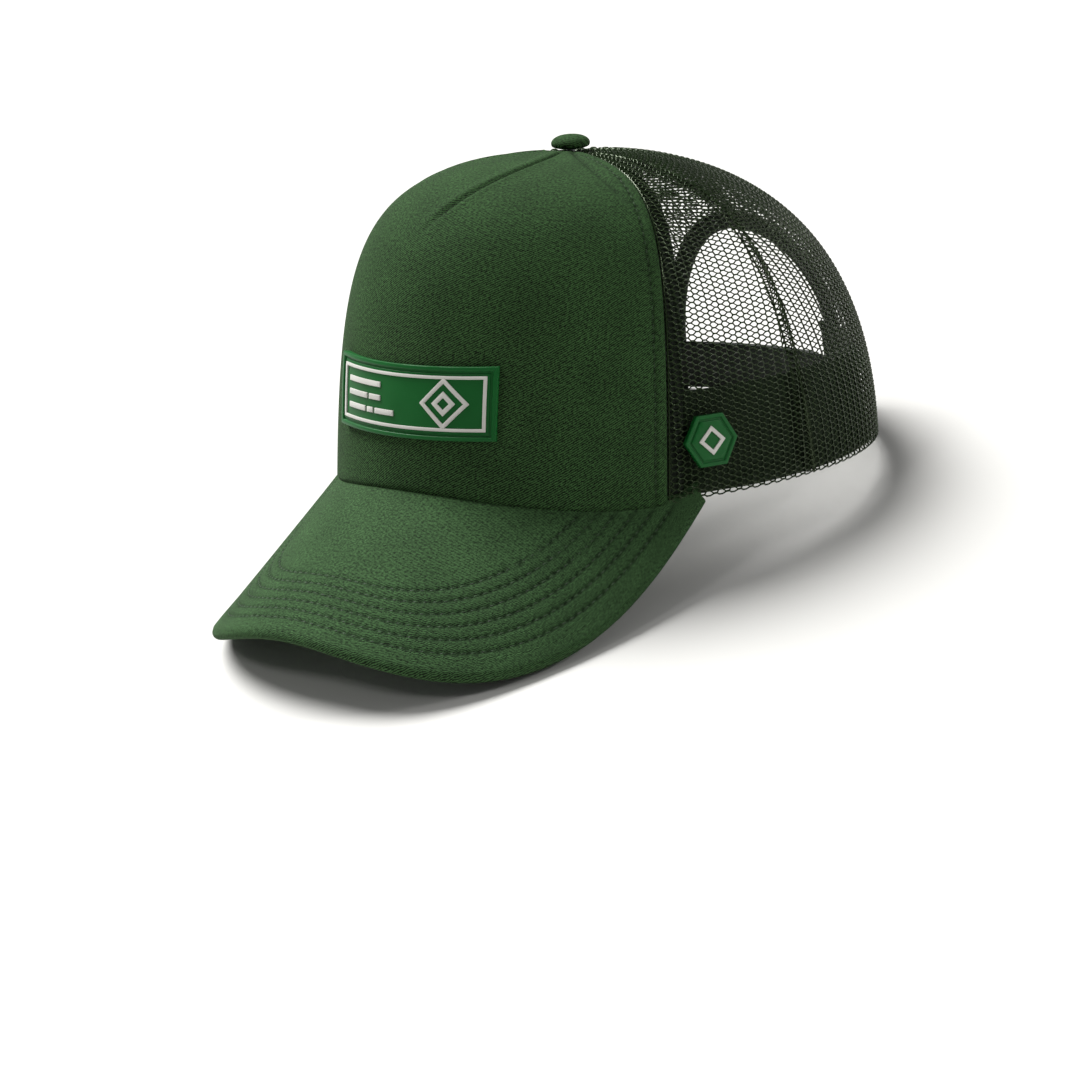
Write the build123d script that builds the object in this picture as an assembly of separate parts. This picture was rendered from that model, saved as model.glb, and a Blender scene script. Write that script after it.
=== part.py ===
from build123d import *
import os
from math import atan2, cos, hypot, pi, radians, sin

# Five-panel trucker cap with a foam front, mesh sides and back, a curved brim and a snap strap.
# Millimetres. The crown is drawn in its own frame first: the head opening lies at z = 0, the brim
# points to -Y and the wearer's left is +X. The whole cap is then tipped to stand on a table.

# ---------------------------------------------------------------- driving dimensions
# crown
half_length = 100.7         # button axis to the front and back of the head opening
half_width = 86.7
egg = -0.109                # the opening is wider behind than in front
crown_height = 103.1
button_forward = 8.3        # the button sits this far in front of the opening's middle
# shape of each rib from the rim up, as (front, side, back)
rise = (0.917, 0.743, 0.634)        # how high the wall goes before it turns in
roof = (0.842, 0.693, 0.630)        # how wide the flat of the top is
belly = (-0.075, -0.059, 0.054)     # how far the wall leans in or out

# panels
front_seam = (1.020, 0.184)         # azimuth at the rim and how much it opens towards the top
side_seam = (1.600, -0.050)
seam_gap = 0.0016                   # half the gap between neighbouring panels, radians
panel_low, panel_top = 0.002, 0.982 # panels stop just over the rim and under the button
cover_low = 0.0012                  # the front fabric wraps a little lower
fabric = 0.8
foam = 3.4
foam_inset = (0.045, 0.10)          # how far the foam stops inside the seam, radians: rim, more above
foam_top = 0.965
mesh_depth = 0.6                    # the mesh lies a little under the foam panel's face
mesh = 0.9
tape_depth = 1.75
tape = 0.65
tape_width = 7.0
tape_low, tape_top = 0.01, 0.96

# brim
temple = 1.1353                     # azimuth where the brim's corners meet the crown
brim_radius = 74.5
brim_pinch = 0.1718 / 70            # the brim curls tighter towards its front edge
brim_slope = 0.5435
brim_half_width = 78.3
brim_reach = 59.45
brim_corner = (2.34, 2.64)          # superellipse powers across and along
brim_cover = 1.0
board = 1.5
under_cover = 0.9
brim_thick = 3.9
brim_ear = 1.5                      # the brim's corners stand this far past the crown
brim_waist = 0.55                   # share of the length over which the brim widens from its corners
layer_gap = 0.1
board_inset = 2.2
hollow_back = 0.96                  # the folded cover is open towards the crown

# rear opening
arch_half = 33.5
arch_spring = 18.0                  # where the arch's curve starts
arch_top = 65.0
binding_width = 5.5
binding_lap = 1.0                   # how far the binding stands past the mesh's cut edge
binding_depth = 2.15
binding_reach = 0.52                # azimuth to either side that the binding is cut from
binding_top = 0.62

# sweatband
band_height = 33.0
band = 1.5
band_depth = (4.9, 4.5, 5.7)        # front, side, back
band_end = radians(157.5)
band_clear = 0.8                    # rim to the sweatband's lower edge

# snap strap
strap_radius = 91.8                 # the rim's own radius at the back
strap_low, strap_high = 1.7, 18.7
strap = 1.2
strap_gap = 0.3
outer_depth = 2.45
hinge_inset = 2.0                   # hinge line to the arch's side
hinge_relief = 0.8
stud_pitch = 7.5
stud_count = 7
hole_diameter = 5.4
stud_diameter = 4.1
stud_height = 1.7
tab_length = 9.0
tip_length = 4.6                    # last hole or stud to the strap's free end
tip_corner = 5.0
root_sink = 0.2                     # how far studs run into the strap

# button
button_diameter = 13.0
button_height = 5.0
button_wall = 0.6
button_seat = 0.15                  # clearance over the panels
button_chamfer = 0.8
rivet_diameter = 3.0
rivet_clear = 0.6
washer_diameter = 11.0
washer = 0.6
washer_drop = 4.6                   # top of the crown to the washer's underside

# front patch
patch_half_width = 31.8
patch_low, patch_high = 23.6, 46.6
patch_back = 0.1
patch_floor = 1.3
patch_rim = 0.6
rim_width = 1.6
line_rise = 0.45
line_gap = 0.02
frame_inset = (2.9, 3.9)            # patch edge to both sides of the frame line
bar_start, bar_height = -25.5, 1.9
bars = ((4.2, 17.0), (0.0, 17.0), (-4.2, 23.0))     # height from the middle, length
diamond_x = 16.0
diamonds = ((11.5, 9.0), (5.4, 2.6))                # outer and inner side of each ring

# side badge
badge_azimuth, badge_height = 1.178, 17.7
badge_radius = 9.4
badge_back = -0.55                  # depth of its underside, on the mesh
badge_proud, badge_floor = 1.5, 1.0
badge_groove = (1.1, 2.0)           # edge to both sides of the groove
badge_diamond = (6.6, 4.2)

# how the cap stands: on the brim's two low edges and the back of the crown
stand_tilt = 11.208
stand_shift = (0.0, 31.103, 17.948)

STEP = 1e-4


# ---------------------------------------------------------------- crown surface
def around(values, t):
    """A value that runs smoothly from front through side to back."""
    front, side, back = values
    c = cos(t)
    return side + (front - back) / 2 * c + ((front + back) / 2 - side) * c * c


def rim(t):
    """The head opening's outline at azimuth t; 0 is the front, positive the wearer's left."""
    return half_width * sin(t) * (1 + egg * cos(t)), -half_length * cos(t)


temple_x, temple_y = rim(temple)


def brim_height(x, y):
    """Height of the brim's top surface, a curl across and a slope forward."""
    forward = temple_y - y
    curl = (temple_x**2 - x**2 * (1 + brim_pinch * forward)) / (2 * brim_radius)
    return curl - brim_slope * forward


def rim_height(t):
    """The crown's lower edge: it follows the brim in front and is level behind."""
    turned = (t + pi) % (2 * pi) - pi
    return brim_height(*rim(t)) if abs(turned) < temple else 0.0


def skin(t, u):
    """A point on the crown's outer face; u runs from 0 at the rim to 1 at the button."""
    x, y = rim(t)
    low = rim_height(t)
    b0, b1, b2, b3 = (1 - u) ** 3, 3 * u * (1 - u) ** 2, 3 * u * u * (1 - u), u**3
    reach = b0 + b1 * (1 + around(belly, t)) + b2 * around(roof, t)
    height = b0 * low + b1 * (low + around(rise, t) * (crown_height - low)) + (b2 + b3) * crown_height
    return Vector(reach * x, -button_forward * (1 - reach) + reach * y, height)


def crown_point(t, u, depth=0.0):
    """A point of the crown, moved inward from the outer face by depth."""
    along = skin(t + STEP, u) - skin(t - STEP, u)
    up = skin(t, u + STEP) - skin(t, u - STEP)
    return skin(t, u) - along.cross(up).normalized() * depth


def u_at(t, height):
    """The u at which the crown reaches a height."""
    low, high = 0.0, 1.0
    for _ in range(40):
        middle = (low + high) / 2
        if skin(t, middle).Z < height:
            low = middle
        else:
            high = middle
    return low


def seam(line, u, side=1):
    return side * (line[0] + line[1] * u)


def steps(start, end, count):
    return [start + (end - start) * i / (count - 1) for i in range(count)]


def skin_solid(point, depth, thick, across=17, up=17):
    """Close the space between two copies of a point grid, one thick under the other."""
    faces = []
    for d in (depth, depth + thick):
        rows = [[point(i / (across - 1), j / (up - 1), d) for i in range(across)] for j in range(up)]
        faces.append(Face.make_surface_from_array_of_points(rows, tol=0.005))
    top, bottom = faces
    walls = []
    for edge in top.edges():
        mate = min(bottom.edges(), key=lambda e: (e @ 0.5 - edge @ 0.5).length)
        walls.append(Face.make_surface_from_curves(edge, mate))
    return Solid(Shell([top, bottom] + walls))


def panel(t_from, t_to, u_from, u_to, depth, thick, across=17, up=17):
    """A sheet of the crown between two seams; each limit is a function."""
    def point(i, j, d):
        u = u_from + (u_to - u_from) * j
        a, b = t_from(u), t_to(u)
        return crown_point(a + (b - a) * i, u, d)
    return skin_solid(point, depth, thick, across, up)


def crown_block(t_low, t_high, z_low, z_high, depth, thick, across=13, up=7):
    """A sheet of the crown between two azimuths and two heights."""
    def point(i, j, d):
        t = t_low + (t_high - t_low) * i
        return crown_point(t, u_at(t, z_low + (z_high - z_low) * j), d)
    return skin_solid(point, depth, thick, across, up)


# ---------------------------------------------------------------- crown panels
def make_front():
    def left(u):
        return seam(front_seam, u) - seam_gap

    def right(u):
        return -left(u)

    def foam_left(u):
        return left(u) - foam_inset[0] - foam_inset[1] * u**3

    cover = panel(right, left, cover_low, panel_top, 0.0, fabric, 33, 21)
    padding = panel(lambda u: -foam_left(u), foam_left, panel_low, foam_top, fabric + 0.05, foam, 33, 21)
    return {"front_fabric": cover, "front_foam": padding}


def arch_prism(grow, bottom=-30.0):
    """The rear opening's outline, grown on all sides, run through the back of the crown."""
    half, top = arch_half + grow, arch_top - arch_spring + grow
    with BuildPart() as prism:
        with BuildSketch(Plane.XZ.offset(-40)):
            with Locations((0, arch_spring)):
                Ellipse(half, top)
            with Locations((0, (arch_spring + bottom) / 2)):
                Rectangle(2 * half, arch_spring - bottom)
        extrude(amount=-90)
    return prism.part


def make_mesh():
    made = {}
    cut = arch_prism(binding_lap)
    for name, side in (("left", 1), ("right", -1)):
        made[f"side_mesh_{name}"] = panel(
            lambda u: seam(front_seam, u, side) + side * seam_gap,
            lambda u: seam(side_seam, u, side) - side * seam_gap,
            panel_low, panel_top, mesh_depth, mesh, 15, 21)
        rear = panel(
            lambda u: seam(side_seam, u, side) + side * seam_gap,
            lambda u: side * (pi - seam_gap),
            panel_low, panel_top, mesh_depth, mesh, 21, 21)
        made[f"rear_mesh_{name}"] = rear - cut
    return made


def make_tapes():
    """Tapes over the front seams on the inside, and the folded mesh edges along the other seams."""
    made = {}

    def angle(u, width):
        x, y, _ = skin(1.3, u)
        return width / max(hypot(x, y + button_forward), 12.0)

    for name, side in (("left", 1), ("right", -1)):
        made[f"front_seam_tape_{name}"] = panel(
            lambda u: seam(front_seam, u, side) - side * angle(u, 0.2 * tape_width),
            lambda u: seam(front_seam, u, side) + side * angle(u, 0.8 * tape_width),
            tape_low, tape_top, tape_depth, tape, 5, 21)
        made[f"side_seam_fold_{name}"] = panel(
            lambda u: seam(side_seam, u, side) - side * angle(u, 0.5 * tape_width),
            lambda u: seam(side_seam, u, side) + side * angle(u, 0.5 * tape_width),
            tape_low, tape_top, tape_depth, tape, 5, 21)
    start = u_at(pi, arch_top + binding_width + 2.0)
    made["back_seam_fold"] = panel(
        lambda u: pi - angle(u, 0.5 * tape_width), lambda u: pi + angle(u, 0.5 * tape_width),
        start, tape_top, tape_depth, tape, 5, 15)
    return made


def make_binding():
    """A folded tape that grips the mesh's cut edge all round the rear opening."""
    def limit(side):
        return lambda u: pi + side * binding_reach

    whole = panel(limit(-1), limit(1), panel_low, binding_top, 0.0, binding_depth, 21, 15)
    slot = panel(limit(-1.1), limit(1.1), -0.03, binding_top + 0.08, mesh_depth - 0.05, mesh + 0.1, 21, 15)
    slot -= arch_prism(binding_lap - 0.05)
    return {"arch_binding": whole & arch_prism(binding_width) - arch_prism(0) - slot}


def make_sweatband():
    def point(i, j, d):
        t = band_end * (2 * i - 1)
        low = rim_height(t) + band_clear
        return crown_point(t, u_at(t, low + band_height * j), d + around(band_depth, t))
    return {"sweatband": skin_solid(point, 0.0, band, 49, 7)}


# ---------------------------------------------------------------- brim
def outline(inset=0.0):
    """The brim's outer edge seen from above, in even steps from the right corner to the left."""
    reach = temple_y + half_length + brim_reach
    raw = []
    for i in range(401):
        a = -pi / 2 + pi * i / 400
        x = brim_half_width * abs(sin(a)) ** (2 / brim_corner[0]) * (1 if a > 0 else -1)
        forward = reach * max(cos(a), 0.0) ** (2 / brim_corner[1])
        near = max(1 - forward / reach / brim_waist, 0.0)
        x *= 1 - (1 - (temple_x + brim_ear) / brim_half_width) * near**2
        size = 1 - inset / hypot(x, forward)
        raw.append((x * size, temple_y - forward * size))
    return even(raw, 41)


def even(points, count):
    """Points at equal distances along a fine line."""
    run = [0.0]
    for a, b in zip(points, points[1:]):
        run.append(run[-1] + hypot(b[0] - a[0], b[1] - a[1]))
    out, k = [], 0
    for want in steps(0.0, run[-1], count):
        while k < len(run) - 2 and run[k + 1] < want:
            k += 1
        f = (want - run[k]) / (run[k + 1] - run[k])
        out.append(tuple(p + (q - p) * f for p, q in zip(points[k], points[k + 1])))
    return out


def brim_point(x, y, depth):
    """A point under the brim's top surface, square to it."""
    slope_x = (brim_height(x + STEP, y) - brim_height(x - STEP, y)) / (2 * STEP)
    slope_y = (brim_height(x, y + STEP) - brim_height(x, y - STEP)) / (2 * STEP)
    square = Vector(-slope_x, -slope_y, 1).normalized()
    return Vector(x, y, brim_height(x, y)) - square * depth


def brim_layer(depth, thick, inset=0.0, back=1.0):
    """A sheet of the brim from the crown's edge to the outline."""
    edge = outline(inset)
    span = temple - inset / half_width

    def point(i, j, d):
        x0, y0 = (back * value for value in rim(span * (2 * i - 1)))
        x1, y1 = edge[round(i * 40)]
        return brim_point(x0 + (x1 - x0) * j, y0 + (y1 - y0) * j, d)
    return skin_solid(point, depth, thick, 41, 13)


def make_brim():
    hollow = brim_layer(brim_cover, brim_thick, brim_cover, hollow_back)
    first = brim_cover + layer_gap
    second = first + board + layer_gap
    return {
        "brim_top_cover": brim_layer(0.0, brim_thick) - hollow,
        "brim_board": brim_layer(first, board, board_inset),
        "brim_under_cover": brim_layer(second, under_cover, brim_cover + 1.5 * layer_gap),
    }


# ---------------------------------------------------------------- snap strap
def strap_arc(radius, angle_from, angle_to, low, high):
    """An upright band on a circle about the crown's back; angles from the middle, left positive."""
    middle = half_length - strap_radius
    inner, outer = radius - strap / 2, radius + strap / 2
    with BuildPart() as made:
        with BuildSketch(Plane.XY.offset(low)):
            with BuildLine():
                corners = []
                for r in (inner, outer):
                    ends = [(r * sin(a), middle + r * cos(a)) for a in (angle_from, angle_to)]
                    mean = (angle_from + angle_to) / 2
                    ThreePointArc(ends[0], (r * sin(mean), middle + r * cos(mean)), ends[1])
                    corners.append(ends)
                Line(corners[0][0], corners[1][0])
                Line(corners[0][1], corners[1][1])
            make_face()
        extrude(amount=high - low)
    return made.part


def round_corners(body, angle, radius):
    """Round a strap's two free corners, at one end."""
    ends = [e for e in body.edges() if abs(strap_angle(e.center()) - angle) < 0.002]
    short = [e for e in ends if abs(e.length - strap) < 0.05]
    return body.fillet(radius, short)


def strap_angle(point):
    return atan2(point.X, point.Y - half_length + strap_radius)


def hinge_angle(radius):
    return (arch_half - hinge_inset) / radius


def on_strap(angle, radius, height):
    """A plane on a strap's face, its normal pointing outward."""
    middle = half_length - strap_radius
    origin = (radius * sin(angle), middle + radius * cos(angle), height)
    return Plane(origin, x_dir=(0, 0, 1), z_dir=(sin(angle), cos(angle), 0))


def make_straps():
    """The right-hand strap has holes and lies outside; the left one carries the studs."""
    outer = strap_radius - outer_depth - strap / 2
    inner = outer - strap - strap_gap
    pitch = stud_pitch / outer
    row = [pitch * (k - (stud_count - 1) / 2) for k in range(stud_count)]
    tip = row[-1] + tip_length / outer
    height = (strap_low + strap_high) / 2
    made = {}
    for name, radius, side in (("strap_with_holes", outer, -1), ("strap_with_studs", inner, 1)):
        root = side * (hinge_angle(radius) - hinge_relief / radius)
        body = strap_arc(radius, root, -side * tip, strap_low, strap_high)
        body = round_corners(body, -side * tip, tip_corner)
        for angle in row:
            place = on_strap(-side * angle, radius, height)
            if side < 0:
                body -= place * Cylinder(hole_diameter / 2, 4 * strap)
            else:
                stud = Cylinder(stud_diameter / 2, stud_height + root_sink,
                                align=(Align.CENTER, Align.CENTER, Align.MIN))
                body += place * Pos(0, 0, strap / 2 - root_sink) * stud
        made[name] = body
        start = side * (hinge_angle(radius) + hinge_relief / radius)
        made[name.replace("strap", "strap_tab")] = strap_arc(
            radius, start, start + side * tab_length / radius, strap_low, strap_high)
    return made


# ---------------------------------------------------------------- button
def make_button():
    """A cloth-covered metal shell held by a rivet through the top of the crown."""
    seat = crown_height + button_seat
    centre = (0, -button_forward)
    radius = button_diameter / 2

    def dome(r, height, start):
        top = (0, start + height)
        with BuildPart() as made:
            with BuildSketch(Plane.XZ):
                with BuildLine():
                    Line((0, start), (r - button_chamfer, start))
                    Line((r - button_chamfer, start), (r, start + button_chamfer))
                    Spline((r, start + button_chamfer), (0.72 * r, start + 0.72 * height), top,
                           tangents=((0, 1), (-1, 0)))
                    Line(top, (0, start))
                make_face()
            revolve(axis=Axis.Z)
        return Pos(*centre, 0) * made.part

    shell = dome(radius - button_wall - 0.05, button_height - button_wall - 0.1, seat + button_wall)
    cover = dome(radius, button_height, seat)
    cover -= dome(radius - button_wall, button_height - button_wall - 0.05, seat + button_wall - 0.05)
    cover -= Pos(*centre, seat) * Cylinder(rivet_diameter / 2 + rivet_clear, 3 * button_wall)
    below = crown_height - washer_drop
    above = seat + button_wall
    rivet = Pos(*centre, below) * Cylinder(washer_diameter / 2, washer)
    rivet += Pos(*centre, (below + above) / 2) * Cylinder(rivet_diameter / 2, above - below)
    return {"button_cover": cover, "button_shell": shell, "button_rivet": rivet}


# ---------------------------------------------------------------- moulded badges
def front_prism(sketch):
    """Run an outline drawn in XZ backward through the front panel."""
    return extrude(Plane.XZ.offset(60) * sketch, amount=60)


def make_patch():
    """A moulded rectangle with a raised rim, and its raised lines as a second colour."""
    centre = (patch_low + patch_high) / 2
    tall = patch_high - patch_low
    wide = 2 * patch_half_width

    def sheet(rise_from, rise_to):
        return crown_block(-0.55, 0.55, patch_low - 6, patch_high + 6, -rise_to, rise_to - rise_from)

    def frame(inset, radius=0.4):
        return Pos(0, centre) * RectangleRounded(wide - 2 * inset, tall - 2 * inset, radius)

    def diamond(x, size):
        return Pos(x, centre) * Rot(0, 0, 45) * Rectangle(size, size)

    base = sheet(patch_back, patch_floor + patch_rim) & front_prism(frame(0.0, 0.8))
    base -= sheet(patch_floor, patch_floor + 3) & front_prism(frame(rim_width))
    marks = frame(frame_inset[0]) - frame(frame_inset[1])
    for drop, length in bars:
        marks += Pos(bar_start + length / 2, centre + drop) * Rectangle(length, bar_height)
    for outer, inner in diamonds:
        marks += diamond(diamond_x, outer) - diamond(diamond_x, inner)
    raised = sheet(patch_floor + line_gap, patch_floor + line_rise)
    lines = [raised & front_prism(Sketch() + face) for face in marks.faces()]
    return {"patch_base": base, "patch_lines": Compound(children=[s for p in lines for s in p.solids()])}


def make_badge():
    """A moulded hexagon sewn on the wearer's left mesh panel, with a generic diamond."""
    t, u = badge_azimuth, u_at(badge_azimuth, badge_height)
    out = (crown_point(t, u, -1) - crown_point(t, u, 0)).normalized()
    level = Vector(0, 0, 1).cross(out).normalized()
    plane = Plane(crown_point(t, u, 20), x_dir=level, z_dir=out)

    def sheet(rise_from, rise_to):
        return crown_block(t - 0.22, t + 0.22, 4.0, 32.0, -rise_to, rise_to - rise_from)

    def prism(sketch):
        return extrude(plane * sketch, amount=40)

    def hexagon(radius):
        return RegularPolygon(radius, 6)

    def diamond(size):
        return Rot(0, 0, 45) * Rectangle(size, size)

    groove = hexagon(badge_radius - badge_groove[0]) - hexagon(badge_radius - badge_groove[1])
    base = sheet(badge_back, badge_proud) & prism(hexagon(badge_radius))
    base -= sheet(badge_floor, badge_floor + 3) & prism(groove)
    low = badge_proud + line_gap
    mark = sheet(low, low + line_rise) & prism(diamond(badge_diamond[0]) - diamond(badge_diamond[1]))
    return {"badge_base": base, "badge_mark": mark}


# ---------------------------------------------------------------- whole cap
def make_cap():
    pieces = {}
    for make in (make_front, make_mesh, make_tapes, make_binding, make_sweatband, make_brim,
                 make_straps, make_button, make_patch, make_badge):
        pieces.update(make())
    place = Pos(*stand_shift) * Rot(-stand_tilt, 0, 0)
    return {name: place * shape for name, shape in pieces.items()}


def save(pieces):
    os.makedirs("parts", exist_ok=True)
    for name, shape in pieces.items():
        solids = shape.solids()
        export_step(solids[0] if len(solids) == 1 else Compound(children=solids), f"parts/{name}.step")


cap = make_cap()
save(cap)
whole = Compound(children=[solid for shape in cap.values() for solid in shape.solids()]).bounding_box()
low, high = [tuple(round(v, 2) for v in corner) for corner in (whole.min, whole.max)]
print(f"{len(cap)} nodes, low {low}, high {high}")
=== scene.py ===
# Trucker mesh cap: foam front, knitted net sides and back, curved stitched brim and a snap strap.
# Shapes are worked out in millimetres in the crown's own frame, with the head opening at z = 0,
# the brim towards -Y and the wearer's left at +X, and toRow() then stands them on the table.
# On the crown, t is the azimuth in radians from the brim, positive to the wearer's left, and u
# runs from 0 at the rim to 1 at the button. Depths go inward from the plain crown.
from math import cos, pi, radians, sin
import bpy
import numpy as np
from mathutils import Matrix, Vector


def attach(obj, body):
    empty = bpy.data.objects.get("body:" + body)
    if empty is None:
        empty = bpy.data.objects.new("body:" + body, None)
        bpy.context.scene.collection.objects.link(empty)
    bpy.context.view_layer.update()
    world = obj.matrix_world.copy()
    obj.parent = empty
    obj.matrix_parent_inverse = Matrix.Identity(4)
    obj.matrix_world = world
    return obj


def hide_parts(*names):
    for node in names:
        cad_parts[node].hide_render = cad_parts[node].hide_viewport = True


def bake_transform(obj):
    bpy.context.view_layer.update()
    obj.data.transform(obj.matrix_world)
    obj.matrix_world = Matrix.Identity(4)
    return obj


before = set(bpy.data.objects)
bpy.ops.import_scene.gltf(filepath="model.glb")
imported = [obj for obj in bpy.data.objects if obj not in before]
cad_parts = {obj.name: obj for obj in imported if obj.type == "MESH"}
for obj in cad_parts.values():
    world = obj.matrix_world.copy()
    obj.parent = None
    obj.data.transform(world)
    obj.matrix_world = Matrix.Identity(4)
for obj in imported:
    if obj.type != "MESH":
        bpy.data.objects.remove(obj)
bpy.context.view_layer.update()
millimetre = 0.001


def selectOnly(*pieces):
    bpy.ops.object.select_all(action="DESELECT")
    for piece in pieces:
        piece.select_set(True)
    bpy.context.view_layer.objects.active = pieces[0]


def startPiece(add, name, **settings):  # a new primitive, alone in the selection
    bpy.ops.object.select_all(action="DESELECT")
    add(**settings)
    piece = bpy.context.object
    piece.name = piece.data.name = name
    return piece


def getPoints(piece):
    flat = np.empty(len(piece.data.vertices) * 3)
    piece.data.vertices.foreach_get("co", flat)
    return flat.reshape(-1, 3)


def setPoints(piece, points):
    piece.data.vertices.foreach_set("co", np.asarray(points, float).ravel())
    piece.data.update()


def applyModifier(piece, kind, **settings):
    modifier = piece.modifiers.new(kind.title(), kind)
    for key, value in settings.items():
        setattr(modifier, key, value)
    selectOnly(piece)
    bpy.ops.object.modifier_apply(modifier=modifier.name)


def editPiece(piece, *steps):  # each step is an edit-mode operator with its settings, on everything
    selectOnly(piece)
    bpy.ops.object.mode_set(mode="EDIT")
    bpy.ops.mesh.select_all(action="SELECT")
    for operator, settings in steps:
        operator(**settings)
    bpy.ops.object.mode_set(mode="OBJECT")


def newMesh(name, points, faces):  # a piece made straight from its points
    mesh = bpy.data.meshes.new(name)
    mesh.from_pydata([tuple(p) for p in points], [], [tuple(f) for f in faces])
    piece = bpy.data.objects.new(name, mesh)
    bpy.context.scene.collection.objects.link(piece)
    return piece


def joinPieces(first, *others):
    selectOnly(first, *others)
    bpy.ops.object.join()
    return first


def smooth(piece, angle=None):
    selectOnly(piece)
    if angle is None:
        bpy.ops.object.shade_smooth()
    else:
        bpy.ops.object.shade_smooth_by_angle(angle=radians(angle))
    return piece


def runLength(points):  # distance along a line of points, starting at 0
    return np.concatenate([[0.0], np.cumsum(np.linalg.norm(np.diff(points, axis=0), axis=1))])


def pointsAt(points, run, want):  # points at some distances along a line of points
    return np.stack([np.interp(want, run, points[:, k]) for k in range(points.shape[1])], 1)


def cornerPoints(piece):  # which point each face corner uses
    corners = np.empty(len(piece.data.loops), int)
    piece.data.loops.foreach_get("vertex_index", corners)
    return corners


def unit(vectors):
    return vectors / np.linalg.norm(vectors, axis=-1, keepdims=True)


def dip(distance, width):  # a soft groove profile, 1 in its middle
    return np.exp(-(distance / width) ** 2)


def rolled(distance, radius):  # how far a rolled edge has turned away, this near to its end
    return radius * (1 - np.sqrt(np.maximum(1 - np.maximum(1 - distance / radius, 0) ** 2, 0)))


def ease(value, low, high):  # 0 below low, 1 above high, smooth between
    f = np.clip((value - low) / (high - low), 0, 1)
    return f * f * (3 - 2 * f)


# three values in brackets belong to the front, the side and the back; a seam's are its azimuth
# at the rim and how far it moves on its way to the button
crown = {
    "halfLength": 100.7, "halfWidth": 86.7, "egg": -0.109, "height": 103.1, "buttonForward": 8.3,
    "rise": (0.917, 0.743, 0.634), "roof": (0.842, 0.693, 0.630), "belly": (-0.075, -0.059, 0.054),
    "frontSeam": (1.020, 0.184), "sideSeam": (1.600, -0.050), "top": 0.982,
    "standTilt": 11.208, "standShift": (0.0, 31.103, 17.948),
}
# temple is the azimuth where the brim ends, slope and radius its fall forward and its curl
brim = {
    "temple": 1.1353, "radius": 74.5, "pinch": 0.1718 / 70, "slope": 0.5435,
    "halfWidth": 78.3, "reach": 59.45, "corner": (2.34, 2.64), "ear": 1.5, "thick": 3.9,
}


def around(values, t):  # runs smoothly from the front value through the side one to the back one
    front, side, back = values
    c = np.cos(t)
    return side + (front - back) / 2 * c + ((front + back) / 2 - side) * c * c


def rim(t):
    x = crown["halfWidth"] * np.sin(t) * (1 + crown["egg"] * np.cos(t))
    return x, -crown["halfLength"] * np.cos(t)


templeX, templeY = rim(brim["temple"])


def brimHeight(x, y):  # the brim curls across and slopes forward
    forward = templeY - y
    curl = (templeX**2 - x**2 * (1 + brim["pinch"] * forward)) / (2 * brim["radius"])
    return curl - brim["slope"] * forward


def rimHeight(t):
    turned = (t + pi) % (2 * pi) - pi
    return np.where(np.abs(turned) < brim["temple"], brimHeight(*rim(t)), 0.0)


def skin(t, u):  # the crown's outer face: azimuth t, and u from 0 at the rim to 1 at the button
    t, u = np.broadcast_arrays(np.asarray(t, float), np.asarray(u, float))
    x, y = rim(t)
    low = rimHeight(t)
    b0, b1, b2, b3 = (1 - u) ** 3, 3 * u * (1 - u) ** 2, 3 * u * u * (1 - u), u**3
    reach = b0 + b1 * (1 + around(crown["belly"], t)) + b2 * around(crown["roof"], t)
    wall = low + around(crown["rise"], t) * (crown["height"] - low)
    height = b0 * low + b1 * wall + (b2 + b3) * crown["height"]
    return np.stack([reach * x, -crown["buttonForward"] * (1 - reach) + reach * y, height], -1)


def crownNormal(t, u):
    step = 1e-4
    u = np.minimum(u, 0.999)
    along = skin(t + step, u) - skin(t - step, u)
    return unit(np.cross(along, skin(t, u + step) - skin(t, u - step)))


def crownPoint(t, u, depth=0.0):
    return skin(t, u) - crownNormal(t, u) * np.asarray(depth, float)[..., None]


def crownWidth(t, u):  # millimetres for one radian along the crown
    return np.linalg.norm(skin(t + 1e-3, u) - skin(t - 1e-3, u), axis=-1) / 2e-3


def crownAt(x, z, t, u):  # where the crown passes through x and z, from a first guess
    step = 1e-4
    for _ in range(12):
        here = skin(t, u)
        byT = (skin(t + step, u) - here) / step
        byU = (skin(t, u + step) - here) / step
        gapX, gapZ = x - here[..., 0], z - here[..., 2]
        det = byT[..., 0] * byU[..., 2] - byU[..., 0] * byT[..., 2]
        t = t + np.clip((gapX * byU[..., 2] - gapZ * byU[..., 0]) / det, -0.2, 0.2)
        u = u + np.clip((gapZ * byT[..., 0] - gapX * byT[..., 2]) / det, -0.2, 0.2)
    return t, u


def heightAt(t, z):  # u at a height on the crown
    low, high = np.zeros_like(t), np.ones_like(t)
    for _ in range(30):
        middle = (low + high) / 2
        below = skin(t, middle)[..., 2] < z
        low, high = np.where(below, middle, low), np.where(below, high, middle)
    return low


def seam(line, u):
    return line[0] + line[1] * u


def toRow(points):  # crown millimetres to the row frame's metres
    a = radians(crown["standTilt"])
    x, y, z = np.asarray(points, float).T
    stood = np.stack([x, y * cos(a) + z * sin(a), -y * sin(a) + z * cos(a)], 1)
    return (stood + crown["standShift"]) * millimetre


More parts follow.
